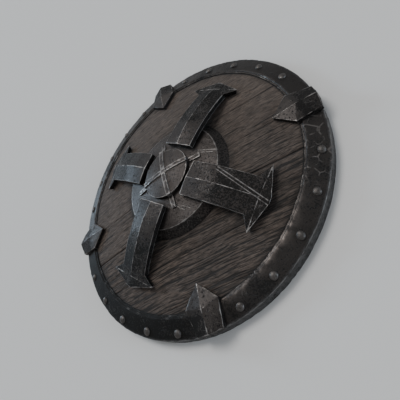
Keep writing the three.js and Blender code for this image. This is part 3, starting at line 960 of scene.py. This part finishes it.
for turn in (0, math.pi / 2):
    combine(cap, band("strip", turn), "UNION")

round_edges(cap, 0.0007, 28)
points = mesh_points(cap.data)
from_axis = off_axis(points)
at_edge = np.clip(1 - np.abs(from_axis - cap_radius) / rubbed_width, 0, 1)
worn = 0.75 * at_edge * (points[:, 2] > cap_edge_height - 0.002)
for side in (-band_width / 2, band_width / 2):
    for start, end in (((-band_reach, side), (band_reach, side)), ((side, -band_reach), (side, band_reach))):
        worn = np.maximum(worn, 0.78 * near_line(points, start, end, rubbed_width))
bare_cap = np.where(from_axis < cap_radius, cap_top(np.minimum(from_axis, cap_radius)), 0)
above = points[:, 2] > bare_cap + 0.0015
# The tops of the bands are marked lighter than the cap: partly rubbed wear, partly a painted highlight.
for end in ((band_reach, 0), (0, band_reach)):
    on_band = near_line(points, np.negative(end), end, band_width / 2) > 0
    worn = np.maximum(worn, 0.42 * (on_band & above))
forge(cap, ["boss_cap"], seed=37, dents=0.0003, dent_size=0.020, nicks=0.0004, worn=worn)
finish_piece(cap, boss_steel, "fitting_steel", "boss_cap")


# Arms
# Four straps of thick plate, folded along the middle to a low ridge and bent down from the boss to the
# board, where each ends in two splayed points. Inside they are hollow. The outer half is dark with scale.
arm_turn = math.radians(-41.8)
arm_half_width = 0.034
arm_flare_half_width = 0.060
arm_plate = 0.003
arm_skirt = 0.010
arm_ridge_rise = 0.006
arm_ridge_end_rise = 0.003
arm_ridge_run = 0.034
arm_crease_rise = 0.0045
arm_curve = 0.430
arm_cap_gap = 0.0095
arm_end_margin = 0.0345
arm_point_length = 0.019
arm_point_half_width = 0.0048
arm_flare_length = 0.014
arm_scale_start = 0.108
arm_scale_end = 0.136

arm_inner = cap_radius + arm_cap_gap
arm_outer = foot_radius - arm_end_margin
arm_crease = arm_outer - arm_point_length
arm_root = arm_crease - arm_flare_length
arm_inner_edge = boss_face(arm_inner) + fit_gap + arm_skirt
arm_tip_edge = board_top(math.hypot(arm_crease, arm_flare_half_width)) + fit_gap + arm_skirt
arm_point_edge = board_top(arm_outer) + fit_gap + arm_skirt


def arm_edge(along):
    """The height of a strap's long edges: an arc from the inner end to the splayed points."""
    run, drop = arm_crease - arm_inner, arm_inner_edge - arm_tip_edge
    chord = math.hypot(run, drop)
    rise = math.sqrt(arm_curve**2 - (chord / 2) ** 2)
    centre_along = (arm_inner + arm_crease) / 2 - rise * drop / chord
    centre_height = (arm_inner_edge + arm_tip_edge) / 2 - rise * run / chord
    return centre_height + np.sqrt(arm_curve**2 - (along - centre_along) ** 2)


def bed(radius):
    """The height of what the straps and clasps lie on, with the fitting gap over it."""
    lip_inner = lip_radius - rim_sheet - fit_gap
    foot_inner = foot_radius - fit_gap
    wall = np.interp(radius, [boss_edge_radius, boss_radius], [boss_edge_height, board_top(boss_radius)])
    low = np.where(radius < boss_radius, wall, board_top(radius))
    low = np.where(radius < boss_edge_radius, boss_face(radius), low)
    low = np.where(radius >= foot_inner, foot_top(radius), low)
    low = np.where(radius >= lip_inner, np.minimum(lip_height, rim_face(radius)), low)
    return np.where(radius > rim_radius + fit_gap, rim_depth - 0.001, low + fit_gap)


def arm_piece(name, turn):
    """One strap. Under its splayed end the wall is drawn in, so that its edge stands clear of the wood."""
    closely = 0.0003
    inner_wall = [arm_inner, arm_inner + arm_plate, arm_inner + arm_plate + closely]
    straight = np.linspace(arm_inner + 2 * arm_plate, arm_root, 42)
    flare = np.linspace(arm_root + 0.003, arm_crease, 5)
    point = np.linspace(arm_crease, arm_outer, 7)[1:]
    along = np.concatenate([inner_wall, straight, [arm_root + closely], flare, point])
    stations = [arm_root, arm_crease, arm_outer]
    half = np.interp(along, stations, [arm_half_width, arm_flare_half_width, arm_point_half_width])
    edge = np.where(along <= arm_root, arm_edge(along), 0)
    edge_points = [arm_edge(arm_root), arm_tip_edge, arm_point_edge]
    edge = np.where(along > arm_root, np.interp(along, stations, edge_points), edge)
    climb = np.clip((along - arm_inner) / arm_ridge_run, 0, 1)
    rise = arm_ridge_end_rise + (arm_ridge_rise - arm_ridge_end_rise) * climb
    rise = np.where(along > arm_root, np.interp(along, stations, [arm_ridge_rise, arm_crease_rise, 0]), rise)
    wall_share = 1 - arm_plate / arm_half_width
    slope = np.linspace(0.14, wall_share - 0.01, 11)
    sides = mirrored([0, 0.035, 0.07, *slope, wall_share, 0.957, 1])
    x = np.broadcast_to(along[:, None], (len(along), len(sides)))
    y = np.outer(half, sides)
    top = edge[:, None] + rise[:, None] * (1 - np.abs(sides))[None, :]
    foot = np.maximum(edge[:, None] - arm_skirt, bed(np.hypot(x, y)))
    solid = (x < arm_inner + arm_plate + closely / 2) | (x > arm_root)
    solid |= np.abs(sides)[None, :] > wall_share - 0.005
    under = np.where(solid, np.minimum(foot, top - 0.001), np.maximum(top - arm_plate, foot))
    drawn_in = smooth_step(x, arm_root, arm_outer)
    under_x = np.where(x > arm_root, arm_root + (x - arm_root) * (1 - 0.42 * drawn_in), x)
    under_y = y * (1 - 0.25 * drawn_in)
    return closed_between(name, turned_plan(x, y, turn), top, under, 4, turned_plan(under_x, under_y, turn))


arm_steel = steel(
    "strap steel",
    plain=(0.034, 0.029, 0.027, 1),
    dark=(0.0085, 0.0082, 0.0075, 1),
    bright=(0.25, 0.235, 0.225, 1),
    patch_size=26,
    patchy=0.15,
    pitted=0.30,
    scratched=0.6,
    rub_share=0.85,
    gouges=[
        ((0.1092, -0.0555), (0.1640, -0.1475), 0.0013),
        ((0.1052, -0.0585), (0.1604, -0.1541), 0.0010),
    ],
)


def turned_back(points, turn):
    """The points of a piece as they lie before it is turned round the Z axis."""
    cos, sin = math.cos(turn), math.sin(turn)
    return np.column_stack([points[:, 0] * cos + points[:, 1] * sin, points[:, 1] * cos - points[:, 0] * sin])


for k in range(4):
    turn = arm_turn + k * math.pi / 2
    arm = arm_piece(f"strap_{k + 1}", turn)
    round_edges(arm, edge_rounding, 13)
    plan = turned_back(mesh_points(arm.data), turn)
    ridge = near_line(plan, (arm_inner, 0), (arm_crease, 0), rubbed_width)
    crease_ends = (arm_crease, -arm_flare_half_width), (arm_crease, arm_flare_half_width)
    crease = near_line(plan, *crease_ends, rubbed_fold_width)
    ends = []
    for side in (-1, 1):
        start, end = (arm_crease, side * arm_flare_half_width), (arm_outer, side * arm_point_half_width)
        ends.append(near_line(plan, start, end, rubbed_width))
    on_top = mesh_points(arm.data)[:, 2] > arm_point_edge - 0.003
    worn = np.maximum.reduce([0.80 * ridge, 0.72 * crease, 0.85 * ends[0] * on_top, 0.85 * ends[1] * on_top])
    forge(arm, [f"arm_{k + 1}"], seed=50 + 3 * k, dents=0.0005, dent_size=0.024, nicks=0.0008, worn=worn)
    ragged = 0.010 * random_field(mesh_points(arm.data), 0.012, 60 + k)
    set_marks(arm.data, grime=smooth_step(plan[:, 0] + ragged, arm_scale_start, arm_scale_end))
    finish_piece(arm, arm_steel, "fitting_steel", f"arm_{k + 1}")


# Clasps
# Four forged wedges over the rim, at the ends of the board's two middle lines. Each has a point over
# the wood, a ridge that peaks above the rim's lip, and a blunt nose past the rim's outer edge.
clasp_reach = 0.044
clasp_shoulder = 0.010
clasp_half_width = 0.033
clasp_outer_half_width = 0.0256
clasp_tip_height = 0.008
clasp_shoulder_height = 0.0085
clasp_peak_height = 0.0108
clasp_outer_height = 0.0085
clasp_outer_ridge = 0.008
clasp_overhang = 0.001
clasp_nose = 0.0033
clasp_scale_start = 0.258
clasp_scale_end = 0.272

clasp_tip = foot_radius - clasp_reach + rim_foot_width
clasp_shoulder_radius = lip_radius - clasp_shoulder
clasp_end = rim_radius + clasp_overhang


def clasp_piece(name, turn):
    share_in = np.linspace(0, 1, 14)
    share_out = np.linspace(0, 1, 16)[1:]
    tip_z = board_top(clasp_tip) + clasp_tip_height
    shoulder_z = board_top(clasp_shoulder_radius) + clasp_shoulder_height
    peak_z = lip_height + clasp_peak_height
    outer_z = rim_depth + clasp_outer_height
    rows = np.concatenate([share_in, 1 + share_out])
    marks = [0, 1, 2]
    edge_x = np.interp(rows, marks, [clasp_tip, clasp_shoulder_radius, clasp_end])
    edge_y = np.interp(rows, marks, [0, clasp_half_width, clasp_outer_half_width])
    edge_z = np.interp(rows, marks, [tip_z, shoulder_z, outer_z])
    ridge_x = np.interp(rows, marks, [clasp_tip, lip_radius, clasp_end + clasp_nose])
    ridge_z = np.interp(rows, marks, [tip_z, peak_z, outer_z + clasp_outer_ridge])
    sides = mirrored([0, 0.035, 0.075, *np.linspace(0.15, 1, 10)])
    away = np.abs(sides)[None, :]
    x = ridge_x[:, None] + (edge_x - ridge_x)[:, None] * away
    y = np.outer(edge_y, sides)
    top = ridge_z[:, None] + (edge_z - ridge_z)[:, None] * away
    under = np.minimum(bed(np.hypot(x, y)), top - 0.0005)
    return closed_between(name, turned_plan(x, y, turn), top, under, 5)


clasp_steel = steel(
    "clasp steel",
    plain=(0.041, 0.0355, 0.033, 1),
    dark=(0.0115, 0.0105, 0.010, 1),
    bright=(0.24, 0.225, 0.215, 1),
    patch_size=30,
    patchy=0.15,
    pitted=0.20,
    scratched=0.5,
    rub_share=0.85,
)
for k in range(4):
    turn = k * math.pi / 2
    clasp = clasp_piece(f"rim_clasp_{k + 1}", turn)
    round_edges(clasp, edge_rounding, 13)
    plan = turned_back(mesh_points(clasp.data), turn)
    ridge = near_line(plan, (clasp_tip, 0), (clasp_end + clasp_nose, 0), rubbed_width)
    shoulders = []
    for side in (-1, 1):
        shoulder = (clasp_shoulder_radius, side * clasp_half_width)
        shoulders.append(near_line(plan, (lip_radius, 0), shoulder, rubbed_fold_width))
    worn = np.maximum(0.74 * ridge, 0.46 * np.maximum(*shoulders))
    wear = {"worn": worn, "edge_wear": 0.72}
    forge(clasp, [f"clasp_{k + 1}"], seed=80 + 3 * k, dents=0.0006, dent_size=0.020, **wear)
    ragged = 0.006 * random_field(mesh_points(clasp.data), 0.010, 90 + k)
    outer_part = smooth_step(plan[:, 0] + ragged, clasp_scale_start, clasp_scale_end)
    # Painted shade: on the fourth clasp the outer part of one side gets more dark scale and pits.
    painted_shade_side = smooth_step(-plan[:, 1] + ragged, -0.002, 0.002) if k == 3 else 0
    set_marks(clasp.data, grime=(0.5 if k == 3 else 1.2) * outer_part + 1.2 * painted_shade_side * outer_part)
    finish_piece(clasp, clasp_steel, "fitting_steel", f"clasp_{k + 1}")


# Grip and battens
# Behind the board, a wooden bar across the hole for the hand, and two thin strips that bind the planks.
# They are plain, darker where they are handled, and fixed with small clenched nails.
grip_length = 0.300
grip_width = 0.030
grip_depth = 0.021
grip_rounding = 0.007
batten_width = 0.026
batten_thickness = 0.009
batten_length = 0.380
batten_offset = 0.150
batten_nails = (-0.168, -0.120, -0.056, -0.024, 0.024, 0.056, 0.120, 0.168)
grip_nails = (-0.134, -0.100, 0.100, 0.134)
nail_sizes = {"Head Radius": 0.0032, "Head Height": 0.0012, "Shank Radius": 0.0012, "Shank Length": 0.006}

back_wood = wood(
    "back wood",
    plain=(0.090, 0.066, 0.050, 1),
    dark=(0.036, 0.025, 0.019, 1),
    light=(0.135, 0.105, 0.083, 1),
    along=90.0,
    across=60.0,
)


def bar(name, middle, width, length, top_of, under_of):
    """A bar that runs along Y, with its top and underside given by two functions of place."""
    y = np.linspace(-length / 2, length / 2, math.ceil(length / 0.004) + 1)
    side = np.linspace(-1, 1, 17)
    side = np.sign(side) * np.abs(side) ** 0.8
    x = np.broadcast_to(middle + side * width / 2, (len(y), len(side)))
    y = np.broadcast_to(y[:, None], x.shape)
    piece = closed_between(name, np.dstack([x, y]), top_of(x, y), under_of(x, y, side), 4)
    round_edges(piece, 0.0012, 40)
    points, normals = mesh_points(piece.data), mesh_points(piece.data, "normal")
    points -= normals * (0.0003 * (1 + random_field(points, (0.004, 0.05, 0.004), 3)))[:, None]
    piece.data.vertices.foreach_set("co", points.ravel())
    handled = smooth_step(np.abs(points[:, 1]), 0.062, 0.040) * (abs(middle) < 0.01)
    set_marks(piece.data, grime=0.55 * handled, groove=0, openness=0.2, tone=0.5)
    smooth_shading(piece.data)
    return piece


grip_top = board_back(hand_hole_radius) - fit_gap


def grip_upper(x, y):
    radius = np.hypot(x, y)
    return np.where(radius < hand_hole_radius, grip_top, np.minimum(grip_top, board_back(radius) - fit_gap))


def grip_under(x, y, side):
    corner = np.clip((np.abs(side) * grip_width / 2 - (grip_width / 2 - grip_rounding)) / grip_rounding, 0, 1)
    round_up = grip_rounding * (1 - np.sqrt(1 - corner**2))
    return grip_top - grip_depth + np.broadcast_to(round_up, x.shape)


grip = bar("grip_bar", 0.0, grip_width, grip_length, grip_upper, grip_under)
finish_piece(grip, back_wood, "back_wood", "hand_grip")


def batten_upper(x, y):
    return board_back(np.hypot(x, y)) - fit_gap


def batten_under(x, y, side):
    return batten_upper(x, y) - batten_thickness + 0.0015 * np.abs(side) ** 6


nail_places = []
for k, middle in enumerate((-batten_offset, batten_offset)):
    batten = bar(f"back_batten_{k + 1}", middle, batten_width, batten_length, batten_upper, batten_under)
    finish_piece(batten, back_wood, "back_wood", f"batten_{k + 1}")
    for y in batten_nails:
        nail_places.append((middle + 0.004 * math.copysign(1, y), y, batten_under(middle, y, 0.0)))
nail_places += [(0.0, y, grip_top - grip_depth) for y in grip_nails]
backwards = [(0, 0, -1)] * len(nail_places)
nails = headed("back_nails", nail_places, backwards, nail_sizes, 9, rivet_steel)
set_marks(nails.data, rubbed=0)
smooth_shading(nails.data)
finish_piece(nails, rivet_steel, "rim_steel")


# Floor and light
# A plain pale floor, a soft key light from the left, two weak cool lights low down, and a pale room.
floor_colour = (0.80, 0.795, 0.78, 1)
bpy.ops.mesh.primitive_plane_add(size=30)
floor = bpy.context.object
floor.name = "floor"
floor_material, tree, floor_shader = new_material("floor")
floor_shader.inputs["Base Color"].default_value = floor_colour
floor_shader.inputs["Roughness"].default_value = 0.9
floor.data.materials.append(floor_material)


def soft_lamp(name, bearing, height, strength, softness, colour):
    """An even light from far off, from a bearing round the shield and an angle above the floor."""
    lamp = bpy.data.objects.new(name, bpy.data.lights.new(name, "SUN"))
    lamp.data.energy = strength
    lamp.data.angle = math.radians(softness)
    lamp.data.color = colour
    bearing, height = math.radians(bearing), math.radians(height)
    flat = math.cos(height)
    away = Vector((math.cos(bearing) * flat, math.sin(bearing) * flat, math.sin(height)))
    lamp.rotation_mode = "QUATERNION"
    lamp.rotation_quaternion = away.to_track_quat("Z", "Y")
    bpy.context.scene.collection.objects.link(lamp)


soft_lamp("key", 112, 60, 1.3, 28, (1.0, 0.985, 0.96))
soft_lamp("cool back light", 143, 19, 0.8, 14, (0.60, 0.80, 1.0))
soft_lamp("cool side light", -12, 9, 1.0, 20, (0.66, 0.83, 1.0))

world = bpy.data.worlds.new("room")
world.use_nodes = True
world.node_tree.nodes["Background"].inputs["Color"].default_value = (0.92, 0.94, 0.97, 1)
world.node_tree.nodes["Background"].inputs["Strength"].default_value = 0.38
bpy.context.scene.world = world
